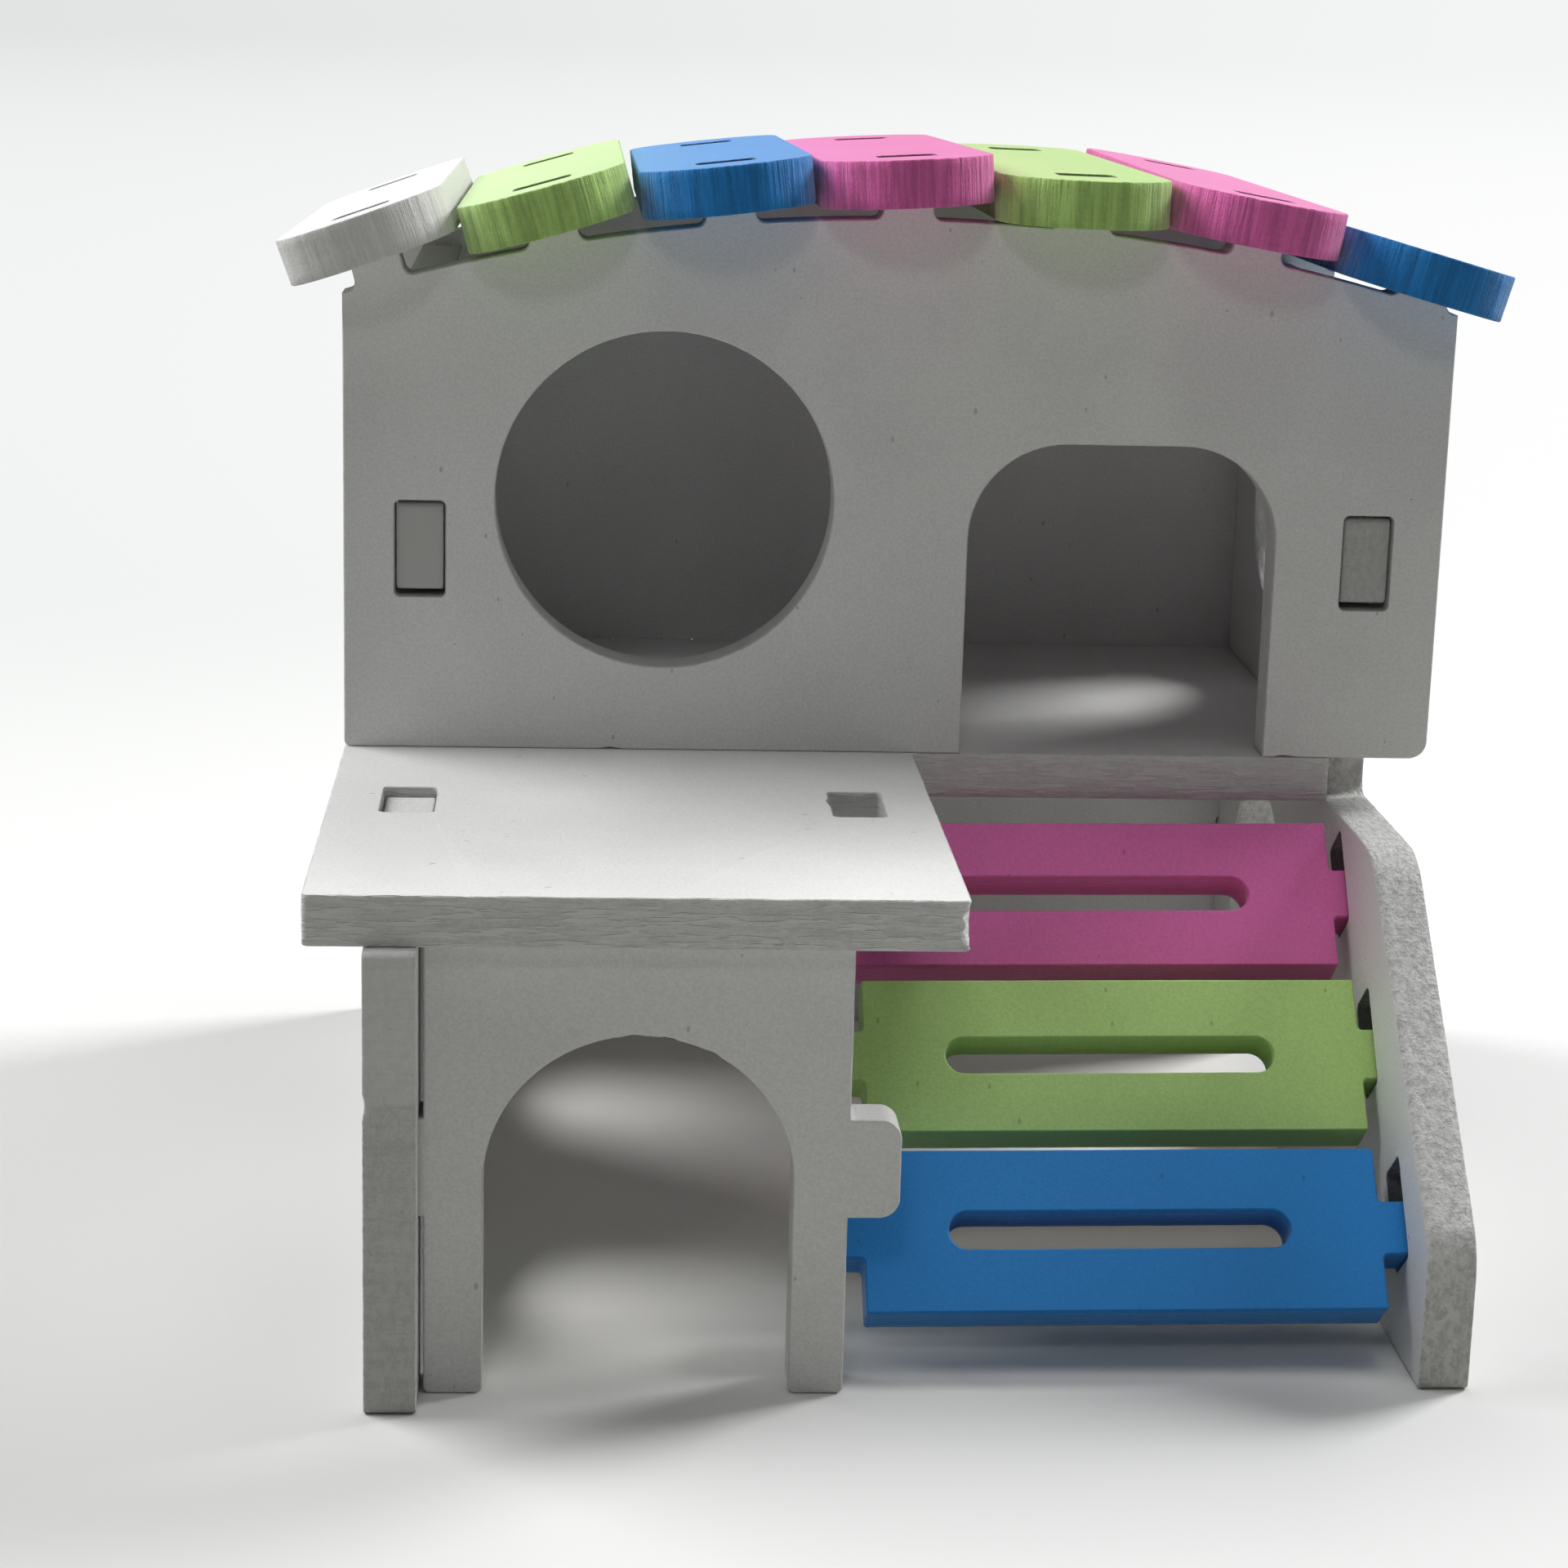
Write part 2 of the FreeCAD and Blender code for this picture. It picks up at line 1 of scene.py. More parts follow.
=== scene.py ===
"""A two-storey wooden hamster house, cut from 5 mm board and painted white, pink, green and blue."""
import json
import math
from collections import namedtuple

import bmesh
import bpy
from mathutils import Matrix, Vector, noise


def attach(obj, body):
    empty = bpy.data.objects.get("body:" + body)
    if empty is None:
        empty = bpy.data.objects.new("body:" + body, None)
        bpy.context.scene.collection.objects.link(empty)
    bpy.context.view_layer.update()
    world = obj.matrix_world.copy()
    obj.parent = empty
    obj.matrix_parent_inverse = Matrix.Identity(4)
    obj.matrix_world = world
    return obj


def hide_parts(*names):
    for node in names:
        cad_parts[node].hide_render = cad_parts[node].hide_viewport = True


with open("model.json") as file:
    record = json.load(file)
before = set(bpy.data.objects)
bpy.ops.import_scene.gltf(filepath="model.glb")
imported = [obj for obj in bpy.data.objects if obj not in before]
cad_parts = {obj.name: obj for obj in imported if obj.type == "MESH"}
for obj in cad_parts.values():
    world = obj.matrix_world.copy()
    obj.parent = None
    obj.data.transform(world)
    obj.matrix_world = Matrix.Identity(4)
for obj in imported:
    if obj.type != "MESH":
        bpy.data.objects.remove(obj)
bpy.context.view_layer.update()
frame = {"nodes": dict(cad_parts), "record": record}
MM = 0.001
X, Y, Z = range(3)
UP = Vector((0, 0, 1))
THICKNESS = 5.0  # of every board, in mm
FRONT = -7.45  # where the upper front wall's face stands, in mm
DECK_TOP, LANDING_FRONT, PANEL_FRONT = 51.0, -67.45, -64.25  # in mm
TENON_TOP = 77.0  # of the side walls' tenons in the front wall, in mm

# Paints: (colour on a board's faces, colour on its cuts)
PAINTS = {
    "white_paint": ((0.77, 0.77, 0.762), (0.70, 0.695, 0.682)),
    "pink_paint": ((0.83, 0.16, 0.48), (0.76, 0.145, 0.43)),
    "green_paint": ((0.48, 0.72, 0.23), (0.41, 0.63, 0.18)),
    "blue_paint": ((0.016, 0.25, 0.69), (0.010, 0.205, 0.57)),
}
# How each board was cut: how strongly the cutter's marks, the layers, lumps and fibres show, how much darker
# its grooves and lighter its ridges are painted (painted shade and highlight), how ragged the arris is in
# mm, and how light the painted shade leaves the walls of its slots
Cut = namedtuple("Cut", "striped layered lumpy fibrous contrast ragged slot_tone")
CUTS = {
    "front_wall": Cut(0.35, 0.35, 0.10, 0.5, 0.10, 0.05, 0.60),
    "back_wall": Cut(0.35, 0.35, 0.10, 0.5, 0.10, 0.05, 0.60),
    "left_wall": Cut(0.40, 0.04, 0.75, 0.7, 0.10, 0.07, 0.60),
    "right_wall": Cut(0.25, 0.15, 2.90, 1.3, 0.18, 0.14, 0.12),
    "deck": Cut(0.10, 1.20, 0.60, 0.5, 0.17, 0.12, 0.80),
    "arch_panel": Cut(0.25, 0.35, 0.10, 0.5, 0.10, 0.06, 0.60),
    "slat": Cut(0.25, 0.20, 0.05, 0.4, 0.10, 0.05, 0.60),
    "roof_board_1": Cut(0.90, 0.10, 0.25, 0.5, 0.16, 0.07, 0.40),
    "roof_board": Cut(1.60, 0.10, 0.25, 0.6, 0.26, 0.07, 0.22),
}
# Values that each point of a board carries for its paint: 1 on the cuts, how rough the cut is, and how far
# it takes the painted shade of a slot's walls
POINT_VALUES = ("rim", "worn", "in_slot")


def cut_of(node):
    """How the cuts of this board look."""
    return next(cut for name, cut in CUTS.items() if node.startswith(name))


def new_object(name, data):
    """An object with this data, in the scene."""
    thing = bpy.data.objects.new(name, data)
    bpy.context.scene.collection.objects.link(thing)
    return thing


def finished_mesh(bm, name):
    """A mesh with the shape of bm, which isn't needed any more."""
    mesh = bpy.data.meshes.new(name)
    bm.to_mesh(mesh)
    bm.free()
    return mesh


# ---------------------------------------------------------------- paint
def colour(rgb, tone=1.0):
    """A colour for a socket, made darker or lighter by tone."""
    return (*(tone * part for part in rgb), 1.0)


class Nodes:
    """The nodes of a material or of the world, filled by short calls."""

    def __init__(self, owner):
        owner.use_nodes = True
        self.tree = owner.node_tree
        self.tree.nodes.clear()

    def add(self, kind, settings=None, **sockets):
        """A node of this kind. A socket goes by its name, or by n and its number."""
        node = self.tree.nodes.new(kind)
        for key, value in (settings or {}).items():
            setattr(node, key, value)
        for key, value in sockets.items():
            socket = node.inputs[int(key[1:]) if key.startswith("n") else key.replace("_", " ")]
            if isinstance(value, bpy.types.NodeSocket):
                self.tree.links.new(value, socket)
            else:
                socket.default_value = value
        return node

    def maths(self, operation, a, b=0.0):
        return self.add("ShaderNodeMath", {"operation": operation}, n0=a, n1=b).outputs[0]

    def ramp(self, value, low, high, to_low=0.0, to_high=1.0):
        """Goes smoothly from to_low to to_high while value goes from low to high."""
        return self.add("ShaderNodeMapRange", {"interpolation_type": "SMOOTHSTEP"}, Value=value,
                        n1=low, n2=high, n3=to_low, n4=to_high).outputs[0]

    def mixed(self, share, a, b):
        """Colour a where share is 0 and b where it is 1."""
        return self.add("ShaderNodeMix", {"data_type": "RGBA"}, n0=share, n6=a, n7=b).outputs[2]

    def sweep(self, value, low, high, colours):
        """The first of two colours below low and the second above high."""
        return self.mixed(self.ramp(value, low, high), colour(colours[0]), colour(colours[1]))

    def stretched(self, place, scale):
        return self.add("ShaderNodeVectorMath", {"operation": "MULTIPLY"}, n0=place, n1=scale).outputs[0]

    def grain(self, place, scale=1.0, detail=2.0, rough=0.5):
        return self.add("ShaderNodeTexNoise", {"noise_dimensions": "3D"}, Vector=place, Scale=scale,
                        Detail=detail, Roughness=rough).outputs["Fac"]

    def spots(self, place, scale, channel, reach, least, soft):
        """Spots of uneven size, each in a cell of its own: the smallest ones don't show."""
        cells = self.add("ShaderNodeTexVoronoi", {"feature": "F1"}, Vector=place, Scale=scale)
        chance = self.add("ShaderNodeSeparateColor", Color=cells.outputs["Color"]).outputs[channel]
        size = self.maths("SUBTRACT", self.maths("MULTIPLY", chance, reach), least)
        inside = self.maths("SUBTRACT", size, cells.outputs["Distance"])
        return self.ramp(inside, -2 * soft, soft)

    def seen(self):
        """1 for what the camera sees, straight, mirrored or through glass, and 0 for light that bounces."""
        rays = self.add("ShaderNodeLightPath").outputs
        seen = self.maths("MAXIMUM", rays["Is Camera Ray"], rays["Is Glossy Ray"])
        return self.maths("MAXIMUM", seen, rays["Is Transmission Ray"])

    def blend(self, share, a, b):
        """Shader a where share is 0 and b where it is 1."""
        return self.add("ShaderNodeMixShader", n0=share, n1=a.outputs[0], n2=b.outputs[0]).outputs[0]


def face_coat(n, place, flat):
    """Tone and height of a face: a thin uneven coat, a fine nap, and a few specks of dust and flecks."""
    coat = n.grain(place, scale=0.05, detail=3.0)
    nap = n.grain(place, scale=3.2, detail=3.0, rough=0.6)
    specks = n.spots(place, scale=0.23, channel=0, reach=0.075, least=0.045, soft=0.006)
    long_cells = n.stretched(place, (0.50, 0.27, 0.5))
    flecks = n.spots(long_cells, scale=1.0, channel=1, reach=0.15, least=0.055, soft=0.01)
    shade = n.maths("ADD", n.ramp(coat, 0.3, 0.7, to_high=0.35), n.ramp(nap, 0.3, 0.7, to_high=0.65))
    tone = n.mixed(shade, colour(flat, 0.87), colour(flat, 1.05))
    tone = n.mixed(n.maths("MULTIPLY", flecks, 0.6), tone, colour(flat, 0.45))
    tone = n.mixed(n.maths("MULTIPLY", specks, 0.55), tone, colour(flat, 0.32))
    return tone, n.maths("MULTIPLY", nap, 0.10)


def cut_coat(n, place, edge, cut, worn, in_slot):
    """Tone and height of a cut: the cutter's marks run across the board, layers and flakes along it. Its
    grooves are painted darker and its ridges lighter, a painted shade and highlight.
    """
    marks = n.grain(n.stretched(place, (2.4, 2.4, 0.12)), detail=3.0, rough=0.6)
    wide_marks = n.grain(n.stretched(place, (0.9, 0.9, 0.05)))
    layers = n.grain(n.stretched(place, (0.20, 0.20, 2.2)), detail=4.0, rough=0.65)
    fibres = n.grain(place, scale=3.0, detail=4.0, rough=0.7)
    lumps = n.grain(n.stretched(place, (1.0, 1.0, 1.5)), detail=3.0, rough=0.6)
    flakes = n.ramp(n.grain(n.stretched(place, (0.22, 0.22, 2.0))), 0.52, 0.60)
    height = n.maths("MULTIPLY", flakes, 0.45 * cut.layered)
    strengths = ((marks, cut.striped), (wide_marks, cut.striped), (layers, cut.layered),
                 (fibres, cut.fibrous), (lumps, cut.lumpy))
    for pattern, strength in strengths:
        height = n.maths("ADD", height, n.maths("MULTIPLY", n.maths("SUBTRACT", pattern, 0.5), strength))
    height = n.maths("MULTIPLY", height, worn)
    # Painted shade and highlight: the cut's grooves are painted darker and its ridges lighter
    deep, high = colour(edge, 1 - cut.contrast), colour(edge, 1 + 0.5 * cut.contrast)
    tone = n.mixed(n.ramp(height, -0.45, 0.35), deep, high)
    # Painted shade: the walls of slots and the tenons' ends in them are painted darker
    return n.mixed(in_slot, tone, colour(edge, cut.slot_tone)), height


def board_paint(name, paint, axis, cut):
    """Matt paint on a board whose thickness runs along axis: smooth on its faces, rough where it was cut."""
    flat, edge = PAINTS[paint]
    material = bpy.data.materials.new(name)
    n = Nodes(material)
    place = n.add("ShaderNodeMapping", {"vector_type": "POINT"},
                  Vector=n.add("ShaderNodeTexCoord").outputs["Object"],
                  Rotation=axis.rotation_difference(UP).to_euler(),
                  Scale=(1 / MM,) * 3).outputs["Vector"]
    rim, worn, in_slot = (n.add("ShaderNodeAttribute", {"attribute_name": value}).outputs["Fac"]
                          for value in POINT_VALUES)
    face_tone, face_height = face_coat(n, place, flat)
    cut_tone, cut_height = cut_coat(n, place, edge, cut, worn, in_slot)
    face_height = n.maths("MULTIPLY", face_height, n.maths("SUBTRACT", 1.0, rim))
    height = n.maths("ADD", n.maths("MULTIPLY", cut_height, rim), face_height)
    bump = n.add("ShaderNodeBump", Strength=0.85, Distance=0.22 * MM, Height=height)
    shader = n.add("ShaderNodeBsdfPrincipled", Base_Color=n.mixed(rim, face_tone, cut_tone),
                   Roughness=n.ramp(rim, 0.0, 1.0, 0.50, 0.75), Normal=bump.outputs[0])
    shader.inputs["Specular IOR Level"].default_value = 0.35
    shader.inputs["Sheen Weight"].default_value = 0.45
    shader.inputs["Sheen Roughness"].default_value = 0.3
    n.add("ShaderNodeOutputMaterial", Surface=shader.outputs[0])
    return material


# ---------------------------------------------------------------- boards
# Rows of points through a board, in mm, closer together where the arris is rounded, and how far
# back each row stands there
ROWS = (0.0, 0.05, 0.16, 1.0, 1.8, 2.5, 3.2, 4.0, 4.84, 4.95, 5.0)
ARRIS = (0.15, 0.045, 0.0, 0.0, 0.0, 0.0, 0.0, 0.0, 0.0, 0.045, 0.15)
COLUMN = 0.7  # mm between the points along a cut
STRAIGHT = math.radians(0.4)  # a cut's facets that turn less than this are joined
# Cosines with the axis: past the first a normal is a face's, and below the second an edge is a row's
FACE_NORMAL, ROW_EDGE = 0.9, 0.1
FLAT_SHADED = 0.99  # cosine with the axis past which a face is shaded flat
SHARPEST = 0.7  # least cosine between a corner's direction and its sides that counts
# How quickly the wear varies, per mm, in its three kinds: broad, fine, and a gap here and there
BROAD_WEAR, FINE_WEAR, GAP_WEAR = 0.9, 2.1, 0.35
FINE_SHIFT, GAP_SHIFT = Vector((0, 40, 0)), Vector((0, 0, 70))
SLOT_REACH = 8  # mm from a slot's middle to its furthest point, at most
ROUND = 0.8  # least share of the furthest point's distance that all points of a round hole have
# How rough a cut is, beside 1 for most: tenon ends, side windows, and the left wall's toe
TENON_WEAR, WINDOW_WEAR, TOE_WEAR = 0.4, 0.35, 2.4
# Where these lie, in mm: beyond these distances to the side, and between these heights
TENON_SIDE, TENON_HEIGHTS = 45, (60, 90)
WINDOW_SIDE, WINDOW_HEIGHTS, ROOM_FRONT = 48, (55, 90), 10
TOE_FRONT, TOE_TOP = -68, 31.2
TENON_PAINTED_SHADE = 0.25  # painted shade on the tenons' ends, set back in their slots: how much darker than the cuts they are


def thickness_axis(bm):
    """The direction through the board: the normal of its largest face."""
    return max(bm.faces, key=lambda f: f.calc_area()).normal.copy()


def cut_sides(bm, axis):
    """Leaves the cut sides of the board alone, divided into rows and columns."""
    flats = [f for f in bm.faces if abs(f.normal.dot(axis)) > FACE_NORMAL]
    bmesh.ops.delete(bm, geom=flats, context="FACES")
    bmesh.ops.dissolve_limit(bm, angle_limit=STRAIGHT, use_dissolve_boundaries=False,
                             verts=bm.verts, edges=bm.edges, delimit=set())
    across = [e for e in bm.edges if not e.is_boundary]
    bmesh.ops.subdivide_edges(bm, edges=across, cuts=len(ROWS) - 2, use_grid_fill=True)
    lengths = {}
    for e in bm.edges:
        run = e.verts[1].co - e.verts[0].co
        cuts = int(run.length / (COLUMN * MM) + 0.3)
        if cuts > 0 and abs(run.normalized().dot(axis)) < ROW_EDGE:
            lengths.setdefault(cuts, []).append(e)
    for cuts, edges in lengths.items():
        bmesh.ops.subdivide_edges(bm, edges=edges, cuts=cuts, use_grid_fill=True)


def roughen(bm, axis, ragged, seed):
    """Rounds the arris and takes a little off the cuts, more in some places than in others."""
    bm.normal_update()
    low = min(v.co.dot(axis) for v in bm.verts)
    moves = []
    for v in bm.verts:
        row = round((v.co.dot(axis) - low) / MM / THICKNESS * (len(ROWS) - 1))
        side = sum((f.normal for f in v.link_faces), Vector())
        side -= axis * side.dot(axis)
        side.normalize()
        lean = min(abs(f.normal.dot(side)) for f in v.link_faces)
        place = v.co / MM + Vector((seed, 0, 0))
        broad = 0.5 + 0.5 * noise.noise(place * BROAD_WEAR)
        fine = 0.5 + 0.5 * noise.noise(place * FINE_WEAR + FINE_SHIFT)
        gap = max(0.0, noise.noise(place * GAP_WEAR + GAP_SHIFT) - 0.25)
        off = ragged * (0.55 * broad + 0.45 * fine) + ARRIS[row] / max(lean, SHARPEST)
        if ARRIS[row] > 0:
            off += ragged * (1.2 * gap + 0.5 * fine)
        moves.append((v, axis * (low + ROWS[row] * MM - v.co.dot(axis)) - side * (off * MM)))
    for v, move in moves:
        v.co += move


def close_faces(bm, axis):
    """Fills the two faces of the board, round its holes, and turns everything outwards."""
    middle = sum(v.co.dot(axis) for v in bm.verts) / len(bm.verts)
    rims = [e for e in bm.edges if e.is_boundary]
    for side in (1, -1):
        rim = [e for e in rims if (e.verts[0].co.dot(axis) - middle) * side > 0]
        bmesh.ops.triangle_fill(bm, use_beauty=True, use_dissolve=False, edges=rim, normal=axis * side)
    bmesh.ops.recalc_face_normals(bm, faces=bm.faces)


def chip(bm, place, radius, depth, towards):
    """Knocks a small piece off a board at a place, in mm."""
    centre = Vector(place) * MM
    push = Vector(towards).normalized() * depth * MM
    for v in bm.verts:
        near = (v.co - centre).length / (radius * MM)
        if near < 1:
            uneven = 0.75 + 0.5 * noise.noise(v.co / MM * 1.7)
            v.co += push * (1 - near * near) * uneven


def squeeze(bm, low, high, direction, level, factor):
    """Draws the points inside a box towards a level in one direction, in mm."""
    for v in bm.verts:
        place = v.co / MM
        if all(low[i] <= place[i] <= high[i] for i in (X, Y, Z)):
            v.co[direction] = (level + (place[direction] - level) * factor) * MM


def walls_of_slots(bm, axis):
    """The points on the walls of the board's slots: every small closed strip that isn't round."""
    found = set()
    left = set(bm.verts)
    while left:
        strip = {left.pop()}
        front = list(strip)
        while front:
            near = {e.other_vert(v) for v in front for e in v.link_edges} - strip
            strip |= near
            front = list(near)
        left -= strip
        centre = sum((v.co for v in strip), Vector()) / len(strip)
        reach = [axis.cross(v.co - centre).length for v in strip]
        if max(reach) < SLOT_REACH * MM and min(reach) < ROUND * max(reach):
            found |= strip
    return found


def is_tenon_end(place):
    """True on the ends of the tenons that show in the upper front wall, and on the slots round them."""
    low, high = TENON_HEIGHTS
    return abs(place.x) > TENON_SIDE and abs(place.y - FRONT) < 1 and low < place.z < high


def wear_at(place):
    """How rough the cut is at this place."""
    low, high = WINDOW_HEIGHTS
    if is_tenon_end(place):
        return TENON_WEAR
    if abs(place.x) > WINDOW_SIDE and place.y > ROOM_FRONT and low < place.z < high:
        return WINDOW_WEAR
    if place.y < TOE_FRONT and place.z < TOE_TOP:
        return TOE_WEAR
    return 1.0


def set_point_values(bm, axis, node):
    """Tells the paint where each point lies: on a face or a cut, on rough wood or in a slot, which gets
    painted shade.
    """
    rim, worn, in_slot = (bm.verts.layers.float.new(value) for value in POINT_VALUES)
    slot_walls = walls_of_slots(bm, axis)
    for v in bm.verts:
        place = v.co / MM
        v[rim] = 0.0 if v.is_boundary else 1.0
        v[worn] = wear_at(place)
        v[in_slot] = 1.0 if v in slot_walls else 0.0
        # Painted shade on the tenons' ends, which stand back in the front wall's slots
        if node in ("left_wall", "right_wall") and is_tenon_end(place):
            v[in_slot] = TENON_PAINTED_SHADE / (1 - cut_of(node).slot_tone)


def painted_board(node, paint, seed):
    """The node's own board with softened, roughly cut edges and its paint."""
    cut = cut_of(node)
    bm = bmesh.new()
    bm.from_mesh(frame["nodes"][node].data)
    bmesh.ops.remove_doubles(bm, verts=bm.verts, dist=1e-6)
    bm.normal_update()
    axis = thickness_axis(bm)
    cut_sides(bm, axis)
    roughen(bm, axis, cut.ragged, seed)
    for place, radius, depth, towards in CHIPS.get(node, ()):
        chip(bm, place, radius, depth, towards)
    for low, high, direction, level, factor in SQUEEZED.get(node, ()):
        squeeze(bm, low, high, direction, level, factor)
    set_point_values(bm, axis, node)
    close_faces(bm, axis)
    for face in bm.faces:
        face.smooth = abs(face.normal.dot(axis)) < FLAT_SHADED
    name = node + "_painted"
    mesh = finished_mesh(bm, name)
    piece = new_object(name, mesh)
    mesh.materials.append(board_paint(name, paint, axis, cut))
    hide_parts(node)
    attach(piece, "root")


# Chips: place, radius and depth in mm, and the way that the edge is pushed in
INTO_LANDING_FRONT = (0, 1, -0.6)
INTO_ARCH, INTO_ARCH_SIDE = (0, 0.3, 1), (0.3, 0.3, 0.9)
INTO_WALL_FOOT = (0, 0.4, 1)
CHIPS = {
    "deck": [
        ((2.5, LANDING_FRONT, 48.6), 2.2, 0.9, (-1, 0.3, 0)),
        ((-2.0, -25.9, DECK_TOP), 1.6, 0.35, (0.3, 1, 0)),
        ((-8.2, -30.0, DECK_TOP), 1.4, 0.4, (-1, 0, 0)),
        ((-52.0, -35.9, DECK_TOP), 1.6, 0.35, (0.2, -1, 0)),
        ((-26.0, LANDING_FRONT, DECK_TOP), 1.0, 0.25, INTO_LANDING_FRONT),
        ((-45.0, LANDING_FRONT, DECK_TOP), 1.3, 0.25, INTO_LANDING_FRONT),
    ],
    "left_wall": [((-54.25, -69.35, 31.0), 1.1, 0.35, (1, 0.5, 0))],
    "arch_panel": [
        ((-28.9, PANEL_FRONT, 36.45), 1.1, 0.17, INTO_ARCH),
        ((-25.6, PANEL_FRONT, 36.2), 0.9, 0.20, INTO_ARCH),
        ((-21.4, PANEL_FRONT, 34.8), 0.8, 0.20, INTO_ARCH_SIDE),
    ],
    "front_wall": [
        ((21.5, FRONT, DECK_TOP), 0.9, 0.3, INTO_WALL_FOOT),
        ((-31.0, FRONT, DECK_TOP), 0.9, 0.3, INTO_WALL_FOOT),
        ((44.0, FRONT, DECK_TOP), 1.2, 0.3, INTO_WALL_FOOT),
    ],
}
# Squeezed places: low and high corner, direction, level in mm, and the share of the distance to it
# that is left. The landing's tab is a little low, the tenons in the front wall are a little short,
# and slots in the back wall close round what they hold.
TAB_LOW, TAB_LEFT = 46.4, 0.88
TENON_DEPTH_LEFT, TENON_HEIGHT_LEFT = 0.92, 0.955
CLOSED = 0.05


def short_tenon(low_x, high_x):
    """The squeezes that draw a tenon's end back from the front wall's face, and its underside up."""
    bottom, top = TENON_HEIGHTS
    low, high = (low_x, -9, bottom), (high_x, -3, top)
    return [
        (low, high, Y, FRONT + THICKNESS, TENON_DEPTH_LEFT),
        (low, high, Z, TENON_TOP, TENON_HEIGHT_LEFT),
    ]


SQUEEZED = {
    "left_wall": [((-60, -45, TAB_LOW), (-40, -15, 60), Z, TAB_LOW, TAB_LEFT), *short_tenon(-60, -40)],
    "right_wall": short_tenon(40, 60),
    "back_wall": [
        ((-32, 53, 50.95), (-18, 61, 51.7), Z, DECK_TOP, CLOSED),
        ((18, 53, 50.95), (32, 61, 51.7), Z, DECK_TOP, CLOSED),
        ((48.6, 53, 52), (49.3, 61, 95), X, 49.25, CLOSED),
        ((-49.3, 53, 52), (-48.6, 61, 95), X, -49.25, CLOSED),
    ],
}
SEED_STEP = 17.0  # mm between the places where two boards take their wear
paint_of = {part["node"]: part["material_slot"] for part in frame["record"]["subparts"]}
for number, (node, paint) in enumerate(sorted(paint_of.items())):
    painted_board(node, paint, SEED_STEP * number)


# ---------------------------------------------------------------- floor, light and camera
# Colours of the floor and of the room behind it: (at the left, at the right). Darker at the left and lighter
# at the right, they are painted shade and painted light
FLOOR_SEEN = ((0.67, 0.675, 0.665), (0.82, 0.825, 0.815))
FLOOR_BOUNCE = ((0.33, 0.33, 0.31), (0.50, 0.50, 0.47))
GLOW_NEAR = ((0.88, 0.90, 0.89), (1.0, 1.0, 1.0))
GLOW_FAR = ((0.75, 0.77, 0.765), (0.90, 0.92, 0.91))
FLOOR_PAINTED_LIGHT_UNDER_HOUSE = (0.98, 0.97, 0.94)
FLOOR_REACH = 40  # m, from the middle to each side
HOUSE_SIDE, HOUSE_FRONT = (0.046, 0.056), (-0.066, -0.058)  # m, where the painted light on the floor under it starts
GLOW_STARTS = (0.13, 0.40)  # m from the middle, over which the paper gives way to a glow
ROOM_STARTS = (0.4, 5.0)  # m from the middle, over which the glow takes the room's colour
ROOM_LIGHT, ROOM_STRENGTH, ROOM_SEEN = (0.97, 1.0, 0.99), 0.05, (0.80, 0.82, 0.81)
# Lamps: place, height of the point that it is turned to, width and height in m, and watts
LAMPS = {
    "lamp_above": ((0.10, -0.08, 0.95), 0.05, 0.5, 0.4, 1.8),
    "lamp_right": ((0.66, 0.34, 0.57), 0.05, 0.28, 0.36, 7.8),
    "lamp_left": ((-0.65, 0.22, 0.60), 0.05, 0.55, 0.50, 8.0),
    "lamp_front": ((-0.12, -0.62, 0.557), 0.06, 0.10, 0.10, 0.33),
}
CAMERA_PLACE = (-0.03496, -0.37083, 0.13679)
YAW, PITCH, ROLL = 0.064, 0.241, 0.027  # radians to the right, down and round
SENSOR, LENS = 36, 77.8875  # mm
CLIP = (0.01, 100)  # m, nearest and furthest that is drawn


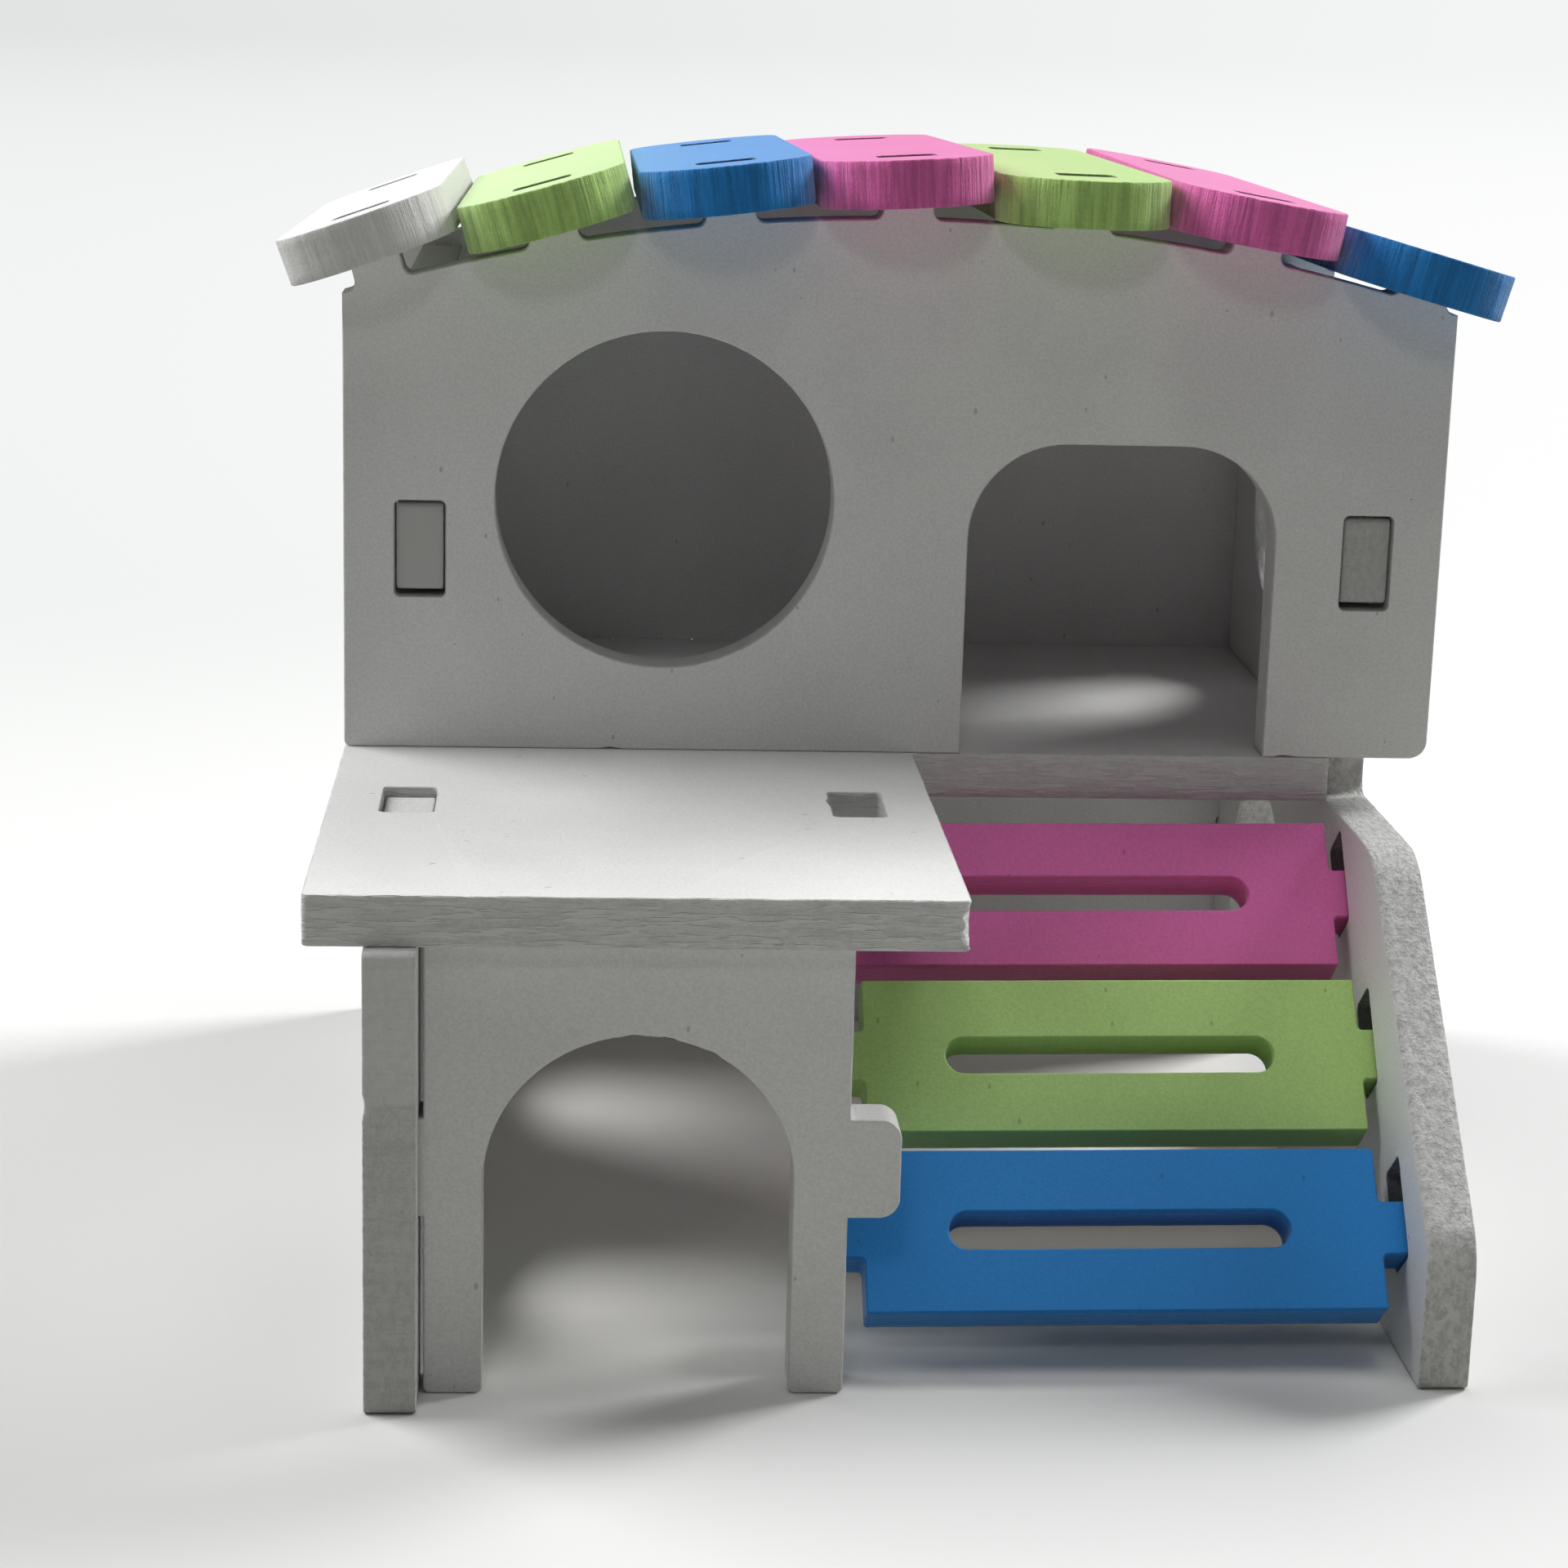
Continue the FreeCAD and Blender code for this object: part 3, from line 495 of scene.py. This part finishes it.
def make_floor():
    """A wide pale floor of paper, which glows far from the house, where only the camera sees it. Its colour
    is painted darker at the left, lighter at the right and lighter under the house: painted shade and
    painted light.
    """
    bm = bmesh.new()
    bmesh.ops.create_grid(bm, x_segments=1, y_segments=1, size=FLOOR_REACH)
    mesh = finished_mesh(bm, "floor")
    floor = new_object("floor", mesh)
    material = bpy.data.materials.new("floor_paper")
    n = Nodes(material)
    place = n.add("ShaderNodeTexCoord").outputs["Object"]
    x, y, _ = n.add("ShaderNodeSeparateXYZ", Vector=place).outputs
    away = n.add("ShaderNodeVectorMath", {"operation": "LENGTH"}, n0=place).outputs["Value"]
    sideways = n.maths("DIVIDE", x, away)
    seen = n.seen()
    # Painted light: the floor under the house, which lies in its shade, is painted lighter and warmer
    under = n.maths("MULTIPLY", n.ramp(n.maths("ABSOLUTE", x), *HOUSE_SIDE, 1.0, 0.0),
                    n.ramp(y, *HOUSE_FRONT))
    # Painted shade and painted light: the paper darker at the left and lighter at the right, for the camera
    # and for bounced light
    paper = n.mixed(seen, n.sweep(x, -0.12, 0.02, FLOOR_BOUNCE), n.sweep(x, -0.15, 0.15, FLOOR_SEEN))
    paper = n.mixed(under, paper, colour(FLOOR_PAINTED_LIGHT_UNDER_HOUSE))
    # The glow is painted lighter towards the right too
    glow = n.mixed(n.ramp(away, *ROOM_STARTS), n.sweep(sideways, -0.5, 0.5, GLOW_NEAR),
                   n.sweep(sideways, -0.25, 0.35, GLOW_FAR))
    near = n.add("ShaderNodeBsdfDiffuse", Color=paper)
    far = n.add("ShaderNodeEmission", Color=glow)
    share_far = n.maths("MULTIPLY", n.ramp(away, *GLOW_STARTS), seen)
    n.add("ShaderNodeOutputMaterial", Surface=n.blend(share_far, near, far))
    mesh.materials.append(material)


def softbox(name, place, aim_height, width, height, watts):
    """A soft rectangular lamp at place, turned to the house at aim_height."""
    lamp = bpy.data.lights.new(name, "AREA")
    lamp.shape = "RECTANGLE"
    lamp.size = width
    lamp.size_y = height
    lamp.energy = watts
    holder = new_object(name, lamp)
    holder.location = place
    holder.rotation_euler = (UP * aim_height - Vector(place)).to_track_quat("-Z", "Y").to_euler()


def light_room():
    """Soft lamps behind, above and in front, in a dim room that looks pale."""
    world = bpy.data.worlds.new("room")
    bpy.context.scene.world = world
    n = Nodes(world)
    dim = n.add("ShaderNodeBackground", Color=colour(ROOM_LIGHT), Strength=ROOM_STRENGTH)
    pale = n.add("ShaderNodeBackground", Color=colour(ROOM_SEEN))
    n.add("ShaderNodeOutputWorld", Surface=n.blend(n.seen(), dim, pale))
    for name, lamp in LAMPS.items():
        softbox(name, *lamp)


def place_camera():
    """The camera stands in front, a little left of the middle, and looks slightly down."""
    ahead = Vector((math.sin(YAW) * math.cos(PITCH), math.cos(YAW) * math.cos(PITCH), -math.sin(PITCH)))
    right = Vector((math.cos(YAW), -math.sin(YAW), 0))
    up = right.cross(ahead)
    tilted_right = right * math.cos(ROLL) + up * math.sin(ROLL)
    tilted_up = up * math.cos(ROLL) - right * math.sin(ROLL)
    camera = bpy.data.cameras.new("camera")
    camera.sensor_width = SENSOR
    camera.lens = LENS
    camera.clip_start, camera.clip_end = CLIP
    holder = new_object("camera", camera)
    axes = Matrix((tilted_right, tilted_up, -ahead)).transposed().to_4x4()
    holder.matrix_world = Matrix.Translation(CAMERA_PLACE) @ axes
    bpy.context.scene.camera = holder


make_floor()
light_room()
place_camera()
bpy.context.scene.view_settings.view_transform = "Standard"
bpy.context.view_layer.update()
